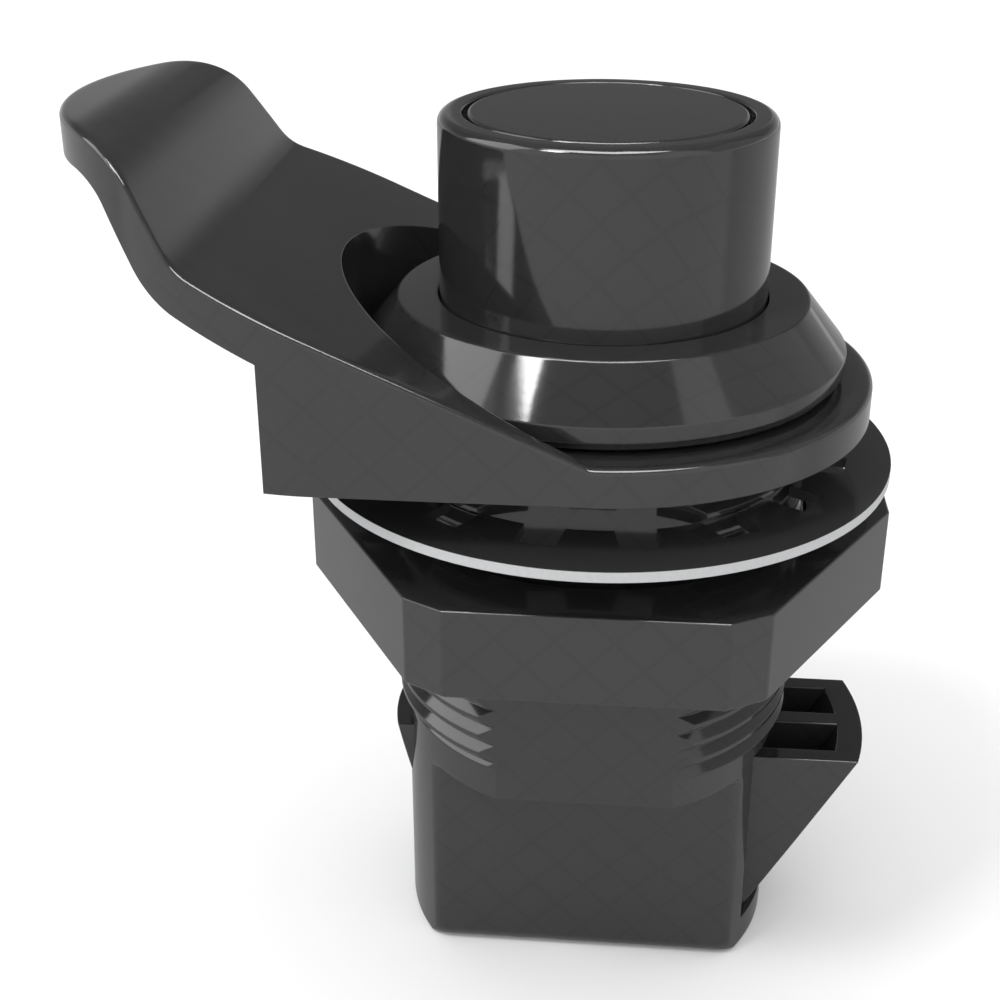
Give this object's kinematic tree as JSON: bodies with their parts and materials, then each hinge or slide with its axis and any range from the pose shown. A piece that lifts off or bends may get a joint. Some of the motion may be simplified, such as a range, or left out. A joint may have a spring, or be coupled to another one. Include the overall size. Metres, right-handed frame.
{
  "type": "push-to-close latch",
  "caption": "Push-to-close latch with a sprung wedge bolt, threaded shank, hexagon nut, finger grip and push knob.",
  "frame": {"origin": "on the latch's axis, at the outer face of the lock washer", "axes": "+Z along the latch's axis towards the knob, +X the way the bolt points, -Y towards the viewer"},
  "size_m": [0.0772, 0.056, 0.0867],
  "materials": {
    "housing": "moulded, glossy",
    "fixing_nut": "moulded, glossy",
    "finger_grip": "moulded, glossy",
    "collar": "moulded, glossy",
    "knob": "moulded, glossy",
    "knob_cap": "moulded, glossy",
    "bolt": "moulded, glossy",
    "plunger": "natural acetal",
    "lock_washer": "black coated faces, bare cut edges",
    "knob_screw": "plain",
    "screw_washer": "plain",
    "retaining_ring": "plain",
    "return_spring": "plain",
    "spring_washer": "plain",
    "bolt_spring": "plain",
    "spring_pin": "plain"
  },
  "bodies": {
    "case": {"housing": "housing", "fixing_nut": "fixing_nut", "lock_washer": "lock_washer", "finger_grip": "finger_grip", "collar": "collar", "retaining_ring": "retaining_ring", "return_spring": "return_spring", "spring_washer": "spring_washer", "bolt_spring": "bolt_spring", "spring_pin": "spring_pin"},
    "push_knob": {"knob": "knob", "knob_cap": "knob_cap", "knob_screw": "knob_screw", "screw_washer": "screw_washer", "plunger": "plunger"},
    "slide_bolt": {"bolt": "bolt"}
  },
  "joints": [
    {"name": "knob_push", "type": "slide", "parent": "case", "child": "push_knob", "axis": [0, 0, -1], "range_m": [0, 0.0092], "stiffness_N_per_m": 500, "deforming": ["return_spring"]},
    {"name": "bolt_slide", "type": "slide", "parent": "case", "child": "slide_bolt", "axis": [-1, 0, 0], "range_m": [0, 0.0092], "stiffness_N_per_m": 200, "deforming": ["bolt_spring"]}
  ],
  "couplings": [
    {"joint": "bolt_slide", "follows": "knob_push", "ratio": 1}
  ]
}
